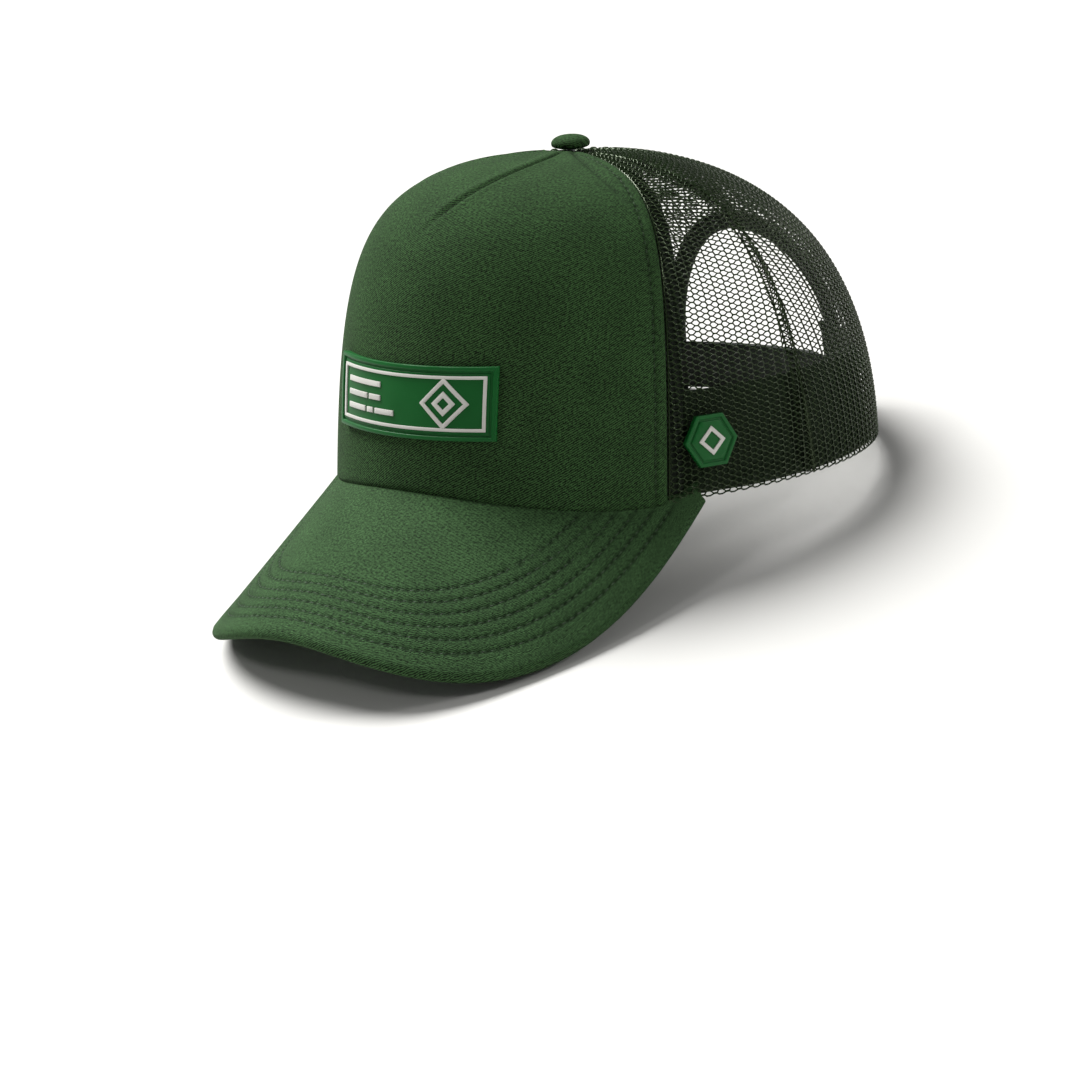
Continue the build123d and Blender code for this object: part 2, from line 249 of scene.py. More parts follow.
def sheetPiece(name, across, up, place):
    # place(i, j) gives millimetres for i and j from 0 to 1; the UV map is the cloth's own flat size
    piece = startPiece(bpy.ops.mesh.primitive_grid_add, name,
                       x_subdivisions=across, y_subdivisions=up, size=1)
    local = getPoints(piece) + (0.5, 0.5, 0)
    points = place(local[:, 0], local[:, 1])
    if isinstance(points, tuple):  # place may also give each point a painted-shade weight, darkest in folds, stitch grooves and needle holes
        points, paintedCreaseShade = points
        piece.data.attributes.new("paintedCreaseShade", "FLOAT", "POINT").data.foreach_set("value", paintedCreaseShade)
    setPoints(piece, toRow(points))
    rows = points.reshape(up + 1, across + 1, 3)
    x = np.cumsum(np.linalg.norm(np.diff(rows, axis=1, prepend=rows[:, :1]), axis=2), axis=1)
    y = np.cumsum(np.linalg.norm(np.diff(rows, axis=0, prepend=rows[:1]), axis=2), axis=0)
    x -= x[:, across // 2:across // 2 + 1]
    flatUv(piece, np.stack([x.ravel(), y.ravel()], 1))
    return piece


def flatUv(piece, flat):  # millimetres on the cloth; one unit of the map is 100 mm
    layer = piece.data.uv_layers[0] if piece.data.uv_layers else piece.data.uv_layers.new(name="cloth")
    layer.data.foreach_set("uv", (flat[cornerPoints(piece)] / 100).ravel())


def thicken(piece, thickness, offset=-1.0):
    applyModifier(piece, "SOLIDIFY", thickness=thickness * millimetre, offset=offset,
                  use_quality_normals=True)
    return piece


def colour(hexValue):
    parts = [int(hexValue[k:k + 2], 16) / 255 for k in (1, 3, 5)]
    return [c / 12.92 if c <= 0.04045 else ((c + 0.055) / 1.055) ** 2.4 for c in parts] + [1.0]


def addNode(tree, kind, inputs=None, **settings):
    node = tree.nodes.new(kind)
    for key, value in settings.items():
        setattr(node, key, value)
    for key, value in (inputs or {}).items():
        if isinstance(value, bpy.types.NodeSocket):
            tree.links.new(value, node.inputs[key])
        else:
            node.inputs[key].default_value = value
    return node


def newMaterial(name):
    material = bpy.data.materials.new(name)
    material.use_nodes = True
    material.node_tree.nodes.clear()
    return material, material.node_tree


def closeMaterial(material, inputs):  # its shader, with what has been made for it
    surface = addNode(material.node_tree, "ShaderNodeBsdfPrincipled", inputs)
    addNode(material.node_tree, "ShaderNodeOutputMaterial", {"Surface": surface.outputs[0]})
    return material


waveScale = 0.314  # a wave texture of this scale repeats once in every unit of its coordinates


# bonded jersey: a fine warp knit with a soft, slightly hairy face; light catches its tiny ribs
def knitFabric(name, recipe):
    material, tree = newMaterial(name)
    place = addNode(tree, "ShaderNodeTexCoord").outputs["UV"]
    scaled = addNode(tree, "ShaderNodeMapping", {"Vector": place, "Scale": (100, 100, 100)}).outputs[0]
    # the real ribs are about 0.4 mm apart and would not show, so they are drawn a little coarser
    turned = addNode(tree, "ShaderNodeMapping", {
        "Vector": scaled, "Rotation": (0, 0, radians(recipe["slant"]))}).outputs[0]
    knit = addNode(tree, "ShaderNodeTexWave", {
        "Vector": turned, "Scale": waveScale / recipe["rib"], "Distortion": 2.2, "Detail": 2.0,
        "Detail Scale": 1.6}).outputs["Fac"]
    fuzz = addNode(tree, "ShaderNodeTexNoise", {
        "Vector": scaled, "Scale": recipe["speckle"], "Detail": 3.0, "Roughness": 0.75}).outputs["Fac"]
    grain = addNode(tree, "ShaderNodeMix", {0: 0.76, 2: knit, 3: fuzz}).outputs[0]
    ramp = addNode(tree, "ShaderNodeValToRGB", {"Fac": grain})
    for stop, at, tone in zip(ramp.color_ramp.elements, (0.37, 0.64), ("dark", "light")):
        stop.position, stop.color = at, colour(recipe[tone])
    cloud = addNode(tree, "ShaderNodeTexNoise", {"Vector": scaled, "Scale": 0.06, "Detail": 2.0})
    shade = addNode(tree, "ShaderNodeMapRange", {
        "Value": cloud.outputs["Fac"], "From Min": 0.3, "From Max": 0.7, "To Min": 0.86, "To Max": 1.1})
    # painted shade: the colour is darkened where a piece marks folds, stitch grooves and needle holes
    fold = addNode(tree, "ShaderNodeAttribute", attribute_name="paintedCreaseShade").outputs["Fac"]
    creaseShadeFactor = addNode(tree, "ShaderNodeMath", {
        0: fold, 1: -0.8, 2: 1.0}, operation="MULTIPLY_ADD").outputs[0]
    dimmed = addNode(tree, "ShaderNodeMath", {
        0: shade.outputs[0], 1: creaseShadeFactor}, operation="MULTIPLY").outputs[0]
    tinted = addNode(tree, "ShaderNodeMix", {
        0: 1.0, 6: ramp.outputs[0], 7: dimmed}, data_type="RGBA", blend_type="MULTIPLY")
    bump = addNode(tree, "ShaderNodeBump", {
        "Height": grain, "Strength": 0.55, "Distance": 0.25 * millimetre})
    return closeMaterial(material, {
        "Base Color": tinted.outputs[2], "Normal": bump.outputs[0], "Roughness": recipe["roughness"],
        "Sheen Weight": recipe["sheen"], "Sheen Roughness": 0.5, "Sheen Tint": colour(recipe["light"]),
        "Specular IOR Level": 0.12})


# yarn or tape woven in slanting ribs: each rib is a rounded thread bundle
def twillFabric(name, recipe):
    material, tree = newMaterial(name)
    place = addNode(tree, "ShaderNodeTexCoord").outputs["UV"]
    turned = addNode(tree, "ShaderNodeMapping", {
        "Vector": place, "Scale": (100, 100, 100),
        "Rotation": (0, 0, radians(recipe["slant"]))}).outputs[0]
    rib = addNode(tree, "ShaderNodeTexWave", {
        "Vector": turned, "Scale": waveScale / recipe["rib"], "Distortion": 0.5,
        "Detail": 1.0}).outputs["Fac"]
    across = addNode(tree, "ShaderNodeTexWave", {
        "Vector": turned, "Scale": waveScale / recipe["rib"] * 0.8}, bands_direction="Y").outputs["Fac"]
    fuzz = addNode(tree, "ShaderNodeTexNoise", {
        "Vector": turned, "Scale": 2.2, "Detail": 3.0}).outputs["Fac"]
    woven = addNode(tree, "ShaderNodeMath", {
        0: rib, 1: across, 2: 0.3}, operation="MULTIPLY_ADD").outputs[0]
    grain = addNode(tree, "ShaderNodeMix", {0: 0.4, 2: woven, 3: fuzz}).outputs[0]
    ramp = addNode(tree, "ShaderNodeValToRGB", {"Fac": grain})
    for stop, at, tone in zip(ramp.color_ramp.elements, (0.2, 0.85), ("dark", "light")):
        stop.position, stop.color = at, colour(recipe[tone])
    bump = addNode(tree, "ShaderNodeBump", {
        "Height": grain, "Strength": 0.7, "Distance": 0.2 * millimetre})
    return closeMaterial(material, {
        "Base Color": ramp.outputs[0], "Normal": bump.outputs[0], "Roughness": recipe["roughness"],
        "Sheen Weight": 0.25, "Sheen Tint": colour(recipe["light"]), "Specular IOR Level": 0.3})


# a hard or soft moulding: one colour that drifts a little, with a fine spark-eroded grain
def mouldedPlastic(name, recipe):
    material, tree = newMaterial(name)
    place = addNode(tree, "ShaderNodeTexCoord").outputs["Object"]
    grain = addNode(tree, "ShaderNodeTexNoise", {
        "Vector": place, "Scale": 1000 / recipe["grain"], "Detail": 2.0}).outputs["Fac"]
    drift = addNode(tree, "ShaderNodeTexNoise", {
        "Vector": place, "Scale": 90.0, "Detail": 4.0}).outputs["Fac"]
    mixed = addNode(tree, "ShaderNodeMix", {
        0: drift, 6: colour(recipe["dark"]), 7: colour(recipe["light"])}, data_type="RGBA")
    bump = addNode(tree, "ShaderNodeBump", {
        "Height": grain, "Strength": recipe["depth"], "Distance": 0.05 * millimetre})
    rough = addNode(tree, "ShaderNodeMapRange", {
        "Value": drift, "To Min": recipe["roughness"] - 0.07, "To Max": recipe["roughness"] + 0.08})
    return closeMaterial(material, {
        "Base Color": mixed.outputs[2], "Normal": bump.outputs[0], "Roughness": rough.outputs[0],
        "IOR": recipe["ior"], "Metallic": recipe.get("metallic", 0.0),
        "Specular IOR Level": recipe.get("specular", 0.5),
        "Specular Tint": colour(recipe.get("tint", "#ffffff"))})


# open-cell polyurethane foam: little round pits with thin bright walls
def cellFoam(name, recipe):
    material, tree = newMaterial(name)
    place = addNode(tree, "ShaderNodeTexCoord").outputs["Object"]
    cells = addNode(tree, "ShaderNodeTexVoronoi", {
        "Vector": place, "Scale": 1000 / recipe["cell"], "Randomness": 1.0}).outputs["Distance"]
    ramp = addNode(tree, "ShaderNodeValToRGB", {"Fac": cells})
    for stop, tone in zip(ramp.color_ramp.elements, ("dark", "light")):
        stop.color = colour(recipe[tone])
    bump = addNode(tree, "ShaderNodeBump", {
        "Height": cells, "Strength": 0.8, "Distance": 0.4 * millimetre})
    return closeMaterial(material, {
        "Base Color": ramp.outputs[0], "Normal": bump.outputs[0], "Roughness": 0.95,
        "Specular IOR Level": 0.15})


finishes = {
    "front": knitFabric("bondedJerseyFront", {
        "dark": "#050903", "light": "#3b5c33", "rib": 0.66, "slant": 58, "speckle": 1.1,
        "roughness": 0.9, "sheen": 0.03}),
    "brim": knitFabric("bondedJerseyBrim", {
        "dark": "#081106", "light": "#44653d", "rib": 0.66, "slant": 52, "speckle": 1.1,
        "roughness": 0.9, "sheen": 0.03}),
    "net": mouldedPlastic("knittedPolyesterNet", {
        "dark": "#0e180a", "light": "#1f3016", "tint": "#c4d8ae", "roughness": 0.22,
        "ior": 1.6, "grain": 0.4, "depth": 0.2}),
    "tape": twillFabric("wovenSeamTape", {
        "dark": "#0b110a", "light": "#1d2919", "rib": 0.9, "slant": 45, "roughness": 0.8}),
    "sweatband": twillFabric("cottonTwillSweatband", {
        "dark": "#11190b", "light": "#243320", "rib": 1.0, "slant": 35, "roughness": 0.95}),
    "thread": twillFabric("spunPolyesterThread", {
        "dark": "#101c0b", "light": "#34502f", "rib": 0.5, "slant": 30, "roughness": 0.55}),
    "foam": cellFoam("openCellFoam", {"dark": "#121b0e", "light": "#2a3a24", "cell": 0.9}),
    "green": mouldedPlastic("softPvcGreen", {
        "dark": "#08501d", "light": "#0c5d24", "specular": 0.22, "roughness": 0.4,
        "ior": 1.52, "grain": 0.5, "depth": 0.2}),
    "white": mouldedPlastic("softPvcWhite", {
        "dark": "#bfbdb6", "light": "#d0cfc9", "roughness": 0.45,
        "ior": 1.52, "grain": 0.5, "depth": 0.2}),
    "strap": mouldedPlastic("mouldedPolyethyleneStrap", {
        "dark": "#0e170c", "light": "#141f12", "roughness": 0.45,
        "ior": 1.51, "grain": 0.35, "depth": 0.5}),
    "board": mouldedPlastic("mouldedPolyethyleneBoard", {
        "dark": "#161a15", "light": "#20261f", "roughness": 0.55,
        "ior": 1.51, "grain": 0.6, "depth": 0.4}),
    "steel": mouldedPlastic("pressedSteel", {
        "dark": "#707173", "light": "#858688", "roughness": 0.35,
        "ior": 1.5, "metallic": 1.0, "grain": 0.3, "depth": 0.3}),
}


def finishPiece(piece, finish, slot, *nodes, body="crown"):
    piece.data.materials.clear()
    piece.data.materials.append(finishes[finish])
    if body:
        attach(piece, body)
    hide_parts(*nodes)
    return piece


thread = {"length": 2.3, "gap": 0.8, "thick": 0.48, "sunk": 0.05}
topstitch = {"length": 2.2, "gap": 0.8, "thick": 0.42, "sunk": 0.05}


def nearest(points, marks):  # from each point to the closest mark
    best = np.full(len(points), 1e9)
    for mark in marks:
        best = np.minimum(best, np.sum((points - mark) ** 2, axis=1))
    return np.sqrt(best)


def needleHoles(points, recipe):  # where one stitch ends and the next begins
    run = runLength(points)
    count = int(run[-1] // (recipe["length"] + recipe["gap"]))
    stations = np.arange(count + 1) * run[-1] / count
    return pointsAt(points, run, stations)


def stitchRow(name, points, normals, recipe=None):
    # one short bowed thread, modelled once, then laid end to end along a line on the cloth
    recipe = {**thread, **(recipe or {})}
    one = startPiece(bpy.ops.mesh.primitive_cylinder_add, "oneStitch",
                     vertices=6, radius=recipe["thick"] / 2, depth=recipe["length"],
                     rotation=(0, pi / 2, 0))
    bpy.ops.object.transform_apply(location=False, rotation=True, scale=False)
    for cut in (-0.32, 0.0, 0.32):
        editPiece(one, (bpy.ops.mesh.bisect, {
            "plane_co": (cut * recipe["length"], 0, 0), "plane_no": (1, 0, 0)}))
    shape = getPoints(one)
    ends = np.abs(shape[:, 0]) / (recipe["length"] / 2)
    shape[:, 1] *= 1 - 0.45 * ends**4
    shape[:, 2] = shape[:, 2] * (1 - 0.45 * ends**4) - recipe["thick"] * 0.75 * ends**2
    faces = [tuple(f.vertices) for f in one.data.polygons]
    bpy.data.objects.remove(one)
    run = runLength(points)
    pitch = recipe["length"] + recipe["gap"]
    count = int(run[-1] // pitch)
    stations = (np.arange(count) + 0.5) * run[-1] / count
    at, out = pointsAt(points, run, stations), unit(pointsAt(normals, run, stations))
    ahead = pointsAt(points, run, stations + 0.5) - at
    ahead[-1] = ahead[-2]
    side = unit(np.cross(out, ahead))
    along = np.cross(side, out)
    base = at - out * recipe["sunk"]
    laid = (base[:, None] + shape[None, :, :1] * along[:, None]
            + shape[None, :, 1:2] * side[:, None] + shape[None, :, 2:] * out[:, None])
    laid = laid.reshape(-1, 3)
    every = [tuple(v + k * len(shape) for v in f) for k in range(count) for f in faces]
    piece = newMesh(name, toRow(laid), every)
    flatUv(piece, laid[:, :2] + laid[:, 2:] * 0.7)
    return smooth(piece)


front = {
    "fabric": 0.8, "roll": 2.2, "proud": 0.25, "topstitch": 4.6, "groove": 0.4,
    "bottomRoll": 1.5, "foam": 3.3, "seamGap": 0.0016, "bottom": 0.0012, "stitchTop": 0.93,
    "grid": (200, 210), "padGrid": (90, 60), "pit": 0.2,
    # folds that run down from the button: azimuth in degrees and u at both ends, depth, width
    "folds": (((23.0, 0.92), (-2.0, 0.45), 1.0, 0.8), ((47.0, 0.94), (60.0, 0.55), 0.8, 1.1),
              ((-47.0, 0.94), (-60.0, 0.55), 0.8, 1.1)),
}


def frontEdge(u):  # azimuth of the front panel's side edge
    return seam(crown["frontSeam"], u) - front["seamGap"]


def frontDepth(t, u):
    # how far the face lies under the plain crown: rolled edges, topstitch grooves and folds
    width = crownWidth(t, u)
    edge = np.maximum((frontEdge(u) - np.abs(t)) * width, 0.0)
    low = np.maximum(skin(t, u)[..., 2] - rimHeight(t), 0.0)
    depth = -front["proud"] * (1 - dip(edge, 3.0))
    depth = depth + rolled(edge, front["roll"]) + rolled(low, front["bottomRoll"])
    groove = front["groove"] * dip(edge - front["topstitch"], 0.9) * ease(0.97 - u, 0.0, 0.1)
    return depth + groove + foldDepth(t, u)[0]


def foldDepth(t, u):
    depth, dark = 0.0, 0.0
    for (t0, u0), (t1, u1), deep, wide in front["folds"]:
        f = (u0 - u) / (u0 - u1)
        line = radians(t0) + (radians(t1) - radians(t0)) * np.clip(f, 0, 1.1)
        off = (t - line) * crownWidth(t, u)
        fade = ease(1 - f, 0.0, 0.3) * ease(0.975 - u, 0.0, 0.03)
        depth = depth + fade * (deep * dip(off, wide) - 0.45 * deep * dip(off + 3 * wide, 2.4 * wide)
                                - 0.3 * deep * dip(off - 3 * wide, 2.2 * wide))
        # painted shade: a dark line of colour along each fold's crease
        dark = dark + fade * deep * dip(off, 0.8 * wide)
    return depth, dark


def frontPlace(i, j):
    i = i - 0.5 / (2 * pi) * np.sin(2 * pi * i)  # closer together near the folded edges
    u = front["bottom"] + (crown["top"] - front["bottom"]) * j
    t = frontEdge(u) * (2 * i - 1)
    return crownPoint(t, u, frontDepth(t, u)), t, u


def frontStitches(side):
    u = np.linspace(0.015, front["stitchTop"], 300)
    return side * (frontEdge(u) - front["topstitch"] / crownWidth(frontEdge(u), u)), u


def makeFront():
    holes = np.concatenate([needleHoles(crownPoint(*frontStitches(side)), topstitch)
                            for side in (1, -1)])

    def faceWithHoles(i, j):
        points, t, u = frontPlace(i, j)
        edge = (frontEdge(u) - np.abs(t)) * crownWidth(t, u)
        hole = dip(nearest(skin(t, u), holes), 0.6)
        line = dip(edge - front["topstitch"], 0.6) * (u < 0.94)
        # painted shade: the topstitch groove, needle holes and folds are darkened in colour
        dark = 0.3 * line + 0.5 * hole + 0.5 * foldDepth(t, u)[1]
        return points - crownNormal(t, u) * front["pit"] * hole[:, None], np.clip(dark, 0, 1)

    face = sheetPiece("front_panel_face", *front["grid"], faceWithHoles)
    thicken(face, front["fabric"])
    smooth(face)
    finishPiece(face, "front", "foam_face_fabric", "front_fabric")

    def padPlace(i, j):
        u = 0.004 + 0.955 * j
        t = (frontEdge(u) - 2.6 / crownWidth(frontEdge(u), u)) * (2 * i - 1)
        return crownPoint(t, u, front["fabric"] + 0.12 + np.maximum(frontDepth(t, u), 0) * 0.6)

    pad = sheetPiece("front_foam_pad", *front["padGrid"], padPlace)
    thicken(pad, front["foam"] - 0.5)
    applyModifier(pad, "BEVEL", width=0.8 * millimetre, segments=2, limit_method="ANGLE")
    smooth(pad)
    finishPiece(pad, "foam", "foam", "front_foam")
    for name, side in (("left", 1), ("right", -1)):
        t, u = frontStitches(side)
        row = stitchRow(f"front_topstitch_{name}", crownPoint(t, u, frontDepth(t, u)),
                        crownNormal(t, u), topstitch)
        finishPiece(row, "thread", "foam_face_fabric")
    print("front panel made")


# column and row are the pitch of the holes and flat is a hole's straight side; the arch is the
# rear opening: half its width, where its sides start to curve, and its top
net = {
    "column": 2.3, "row": 1.88, "flat": 1.3, "strand": 0.72, "rib": 0.3, "hollow": 1.4,
    "depth": 1.05, "fold": 2.3, "archHalf": 33.5, "archSpring": 18.0, "archTop": 65.0, "cut": 1.0,
    "seamGap": 0.003, "bottom": 0.002, "top": 0.978, "foldDepth": 2.0, "foldTop": 0.965,
}


def flatNet(name, width, height):
    # one six-sided hole, repeated in columns that step half a hole
    column, row, flat = net["column"], net["row"], net["flat"] / 2
    cell = startPiece(bpy.ops.mesh.primitive_circle_add, name, vertices=6, fill_type="NGON")
    reach = column - flat
    setPoints(cell, [(flat, row / 2, 0), (-flat, row / 2, 0), (-reach, 0, 0),
                     (-flat, -row / 2, 0), (flat, -row / 2, 0), (reach, 0, 0)])
    columns, rows = int(width / column / 2) + 2, int(height / row) + 2
    for count, shift in ((2, (column, row / 2, 0)), (columns, (2 * column, 0, 0)),
                         (rows, (0, row, 0))):
        applyModifier(cell, "ARRAY", count=count, use_relative_offset=False, use_constant_offset=True,
                      constant_offset_displace=shift, use_merge_vertices=True, merge_threshold=0.02)
    setPoints(cell, getPoints(cell) - ((columns - 0.5) * column, -0.1, 0))
    return cell


def insideArch(points, grow):
    x, y, z = points.T
    half, top = net["archHalf"] + grow, net["archTop"] - net["archSpring"] + grow
    up = np.maximum(z - net["archSpring"], 0)
    return (y > 0) & ((x / half) ** 2 + (up / top) ** 2 < 1)


def dropFaces(piece, gone):
    selectOnly(piece)
    bpy.ops.object.mode_set(mode="EDIT")
    bpy.ops.mesh.select_all(action="DESELECT")
    bpy.ops.object.mode_set(mode="OBJECT")
    piece.data.polygons.foreach_set("select", gone)
    bpy.ops.object.mode_set(mode="EDIT")
    bpy.ops.mesh.select_mode(type="FACE")
    bpy.ops.mesh.delete(type="FACE")
    bpy.ops.object.mode_set(mode="OBJECT")


def faceAny(piece, flags):  # for each face, whether any of its corners is flagged
    starts = np.empty(len(piece.data.polygons), int)
    piece.data.polygons.foreach_get("loop_start", starts)
    return np.maximum.reduceat(flags[cornerPoints(piece)].astype(int), starts).astype(bool)


def layNet(piece, tFrom, tTo, uFrom, uTo, depth):
    # columns of holes run up the middle of the panel; the cut edges follow the seams
    def middle(u):
        return (tFrom(u) + tTo(u)) / 2

    flat = getPoints(piece)
    table = np.linspace(0, 1, 401)
    run = runLength(skin(middle(table), table))
    u = np.interp(flat[:, 1] + np.interp(uFrom, table, run), run, table)
    t = np.empty(len(flat))
    for level in np.unique(np.round(u, 6)):
        here = np.abs(u - level) < 1e-5
        ring = middle(level) + np.linspace(-1.4, 1.4, 281)
        length = runLength(skin(ring, np.full_like(ring, level)))
        t[here] = np.interp(flat[here, 0] + length[140], length, ring)
    inside = (t > tFrom(u)) & (t < tTo(u)) & (u < uTo)
    keep = faceAny(piece, inside)
    if uFrom < 0.1:
        keep &= ~faceAny(piece, insideArch(skin(t, u), net["cut"]))
    share = np.clip((t - tFrom(u)) / (tTo(u) - tFrom(u)), 0, 1)
    t = tFrom(u) + (tTo(u) - tFrom(u)) * share
    u = np.minimum(u, uTo)
    hollow = net["hollow"] * np.sin(pi * share) ** 2 * np.sin(pi * np.clip(u * 1.15, 0, 1))
    rib = net["rib"] * np.cos(pi * np.round(flat[:, 0] / net["column"] + 0.5))
    setPoints(piece, toRow(crownPoint(t, u, depth + hollow * (depth < 1.5) + rib)))
    dropFaces(piece, ~keep)
    editPiece(piece, (bpy.ops.mesh.remove_doubles, {"threshold": 0.25 * millimetre}),
              (bpy.ops.mesh.delete_loose, {}))
    applyModifier(piece, "WIREFRAME", thickness=net["strand"] * millimetre, use_even_offset=False,
                  use_boundary=True, use_replace=True)
    editPiece(piece, (bpy.ops.mesh.normals_make_consistent, {"inside": False}))
    return smooth(piece)


def foldWidth(u):  # millimetres for one radian at the sides, where the seams run
    u = np.asarray(u, float)
    return np.maximum(crownWidth(np.full_like(u, 1.6), u), 10.0)


def makeNets():
    gap = net["seamGap"]

    def frontLine(u):
        return seam(crown["frontSeam"], u)

    def sideLine(u):
        return seam(crown["sideSeam"], u)

    def layFold(name, node, height, line, uFrom):  # the doubled edges of two panels, sewn together
        fold = flatNet(name, 7, height)
        layNet(fold, lambda u: line(u) - net["fold"] / foldWidth(u),
               lambda u: line(u) + net["fold"] / foldWidth(u), uFrom, net["foldTop"], net["foldDepth"])
        finishPiece(fold, "net", "mesh_net", node)
    for name, side in (("left", 1), ("right", -1)):
        for part, near, far, wide, high in (
                ("side", lambda u: frontLine(u) + gap, lambda u: sideLine(u) - gap, 62, 165),
                ("rear", lambda u: sideLine(u) + gap, lambda u: pi - gap + 0 * u, 165, 185)):
            piece = flatNet(f"{part}_net_{name}", wide, high)
            edges = (near, far) if side > 0 else (lambda u: -far(u), lambda u: -near(u))
            layNet(piece, *edges, net["bottom"], net["top"], net["depth"])
            finishPiece(piece, "net", "mesh_net", f"{part}_mesh_{name}")
        layFold(f"side_seam_selvedge_{name}", f"side_seam_fold_{name}", 160,
                lambda u: side * sideLine(u), 0.006)
    layFold("back_seam_selvedge", "back_seam_fold", 80, lambda u: pi, 0.42)
    print("nets made")


tape = {"width": 7.0, "depth": 1.75, "thick": 0.6}
binding = {
    "fold": 0.45, "pitch": 2.7, "pucker": 0.07, "around": 56, "along": 260, "stitchLines": (1.3, 4.4),
    # distance from the opening's edge and depth, round the folded tape with its outside first
    "profile": ((5.5, 0.35), (5.2, 0.08), (4.4, -0.02), (2.8, -0.05), (1.3, -0.02), (0.5, 0.2),
                (0.1, 0.65), (0.0, 1.1), (0.1, 1.55), (0.5, 1.95), (1.3, 2.15), (2.8, 2.2),
                (4.4, 2.15), (5.2, 2.05), (5.5, 1.8)),
}


def makeTapes():
    for name, side in (("left", 1), ("right", -1)):
        def place(i, j):
            u = 0.012 + 0.95 * j
            width = foldWidth(u)
            t = side * seam(crown["frontSeam"], u) + side * (tape["width"] * (i - 0.2)) / width
            ripple = 0.07 * np.sin(2 * pi * j * 45) * np.sin(pi * i)
            return crownPoint(t, u, tape["depth"] + ripple)
        strip = sheetPiece(f"front_seam_tape_cloth_{name}", 8, 180,
                           place if side > 0 else lambda i, j: place(1 - i, j))
        thicken(strip, tape["thick"])
        smooth(strip)
        finishPiece(strip, "tape", "seam_tape", f"front_seam_tape_{name}")
    print("seam tapes made")


def archLine(count):
    # the rear opening's edge, up one side, over and down the other, with its outward direction
    half, rise, spring = net["archHalf"], net["archTop"] - net["archSpring"], net["archSpring"]
    a = np.linspace(0, pi, 400)
    x = np.concatenate([np.full(40, half), half * np.cos(a), np.full(40, -half)])
    z = np.concatenate([np.linspace(0.35, spring, 40, endpoint=False), spring + rise * np.sin(a),
                        np.linspace(spring, 0.35, 41)[1:]])
    line = np.stack([x, z], 1)
    run = runLength(line)
    x, z = pointsAt(line, run, np.linspace(0, run[-1], count)).T
    dx, dz = np.gradient(x), np.gradient(z)
    size = np.hypot(dx, dz)
    return x, z, dz / size, -dx / size


def makeBinding():
    count, (reach, sunk) = binding["along"], zip(*binding["profile"])
    x, z, nx, nz = archLine(count + 1)
    length = runLength(np.stack([x, z], 1))

    def onCrown(k, away, lowest):  # where a point beside the edge lies on the crown
        px, pz = x[k] + nx[k] * away, np.maximum(z[k] + nz[k] * away, lowest)
        return crownAt(px, pz, pi - px / 92, pz / 180)

    def place(i, j):
        k = np.round(j * count).astype(int)
        f = i * (len(reach) - 1)
        away, depth = np.interp(f, range(len(reach)), reach), np.interp(f, range(len(reach)), sunk)
        pucker = binding["pucker"] * np.cos(2 * pi * length[k] / binding["pitch"])
        depth = depth + pucker * np.where(depth < 1.1, 1, -1) * (away > 0.3)
        return crownPoint(*onCrown(k, away, 0.3), depth)

    strip = sheetPiece("arch_binding_tape", binding["around"], count, place)
    editPiece(strip, (bpy.ops.mesh.flip_normals, {}))
    thicken(strip, binding["fold"])
    smooth(strip, 50)
    finishPiece(strip, "tape", "seam_tape", "arch_binding")
    rows = []
    for away in binding["stitchLines"]:
        t, u = onCrown(np.arange(2, count - 1), away, -np.inf)
        rows.append(stitchRow("arch_stitches", crownPoint(t, u, -0.02), crownNormal(t, u),
                              {"length": 2.0}))
    finishPiece(joinPieces(*rows), "thread", "seam_tape")
    print("arch binding made")


# depth of the band's outside at the front, side and back; stitchLines are heights over its edge
band = {
    "height": 33.0, "thick": 1.3, "depth": (4.9, 4.5, 5.7), "hem": 2.7, "end": radians(157.5),
    "clear": 0.6, "grid": (420, 22), "stitchLines": (3.0, 30.8),
}


def bandDepth(t, up):  # the lower edge is sewn to the net's hem, and the band leans in above it
    depth = around(band["depth"], t)
    hem = depth + (band["hem"] - depth) * ease(np.abs(t), 1.22, 1.34)
    return hem + (depth - hem) * ease(up, 0.0, 9.0)


def makeSweatband():
    def place(i, j):
        t = band["end"] * (2 * i - 1)
        up = band["height"] * j
        ripple = 0.1 * np.sin(t * 41 + 2 * np.sin(t * 7)) * np.sin(pi * j) + 0.3 * dip(up - 3.0, 1.0)
        depth = bandDepth(t, up) + 0.2 * np.sin(pi * j) - ripple
        return crownPoint(t, heightAt(t, rimHeight(t) + band["clear"] + up), depth)
    strip = sheetPiece("sweatband_cotton", *band["grid"], place)
    thicken(strip, band["thick"] * 0.8)
    smooth(strip, 60)
    finishPiece(strip, "sweatband", "sweatband_cotton", "sweatband")
    rows = []
    for drop in band["stitchLines"]:
        t = np.linspace(-band["end"] + 0.02, band["end"] - 0.02, 900)
        u = heightAt(t, rimHeight(t) + band["clear"] + drop)
        face = crownPoint(t, u, bandDepth(t, drop) + 0.85 * band["thick"])
        rows.append(stitchRow("sweatband_stitches", face, -crownNormal(t, u),
                              {"length": 2.6, "gap": 1.0}))
    finishPiece(joinPieces(*rows), "thread", "sweatband_cotton")
    print("sweatband made")


# rows are distances of the stitching from the brim's edge; fine and coarse count the mesh's steps
covers = {
    "rows": (6.8, 10.3, 13.8, 17.3, 20.8, 24.3), "groove": 0.2, "grooveWidth": 0.6,
    "pit": 0.3, "pitWidth": 0.62, "fine": 64, "coarse": 12, "across": 440, "roll": 10, "tuck": 4.0,
    "turned": 6, "lip": 3.2, "top": 0.8, "under": 0.7, "underGap": 1.2,
}


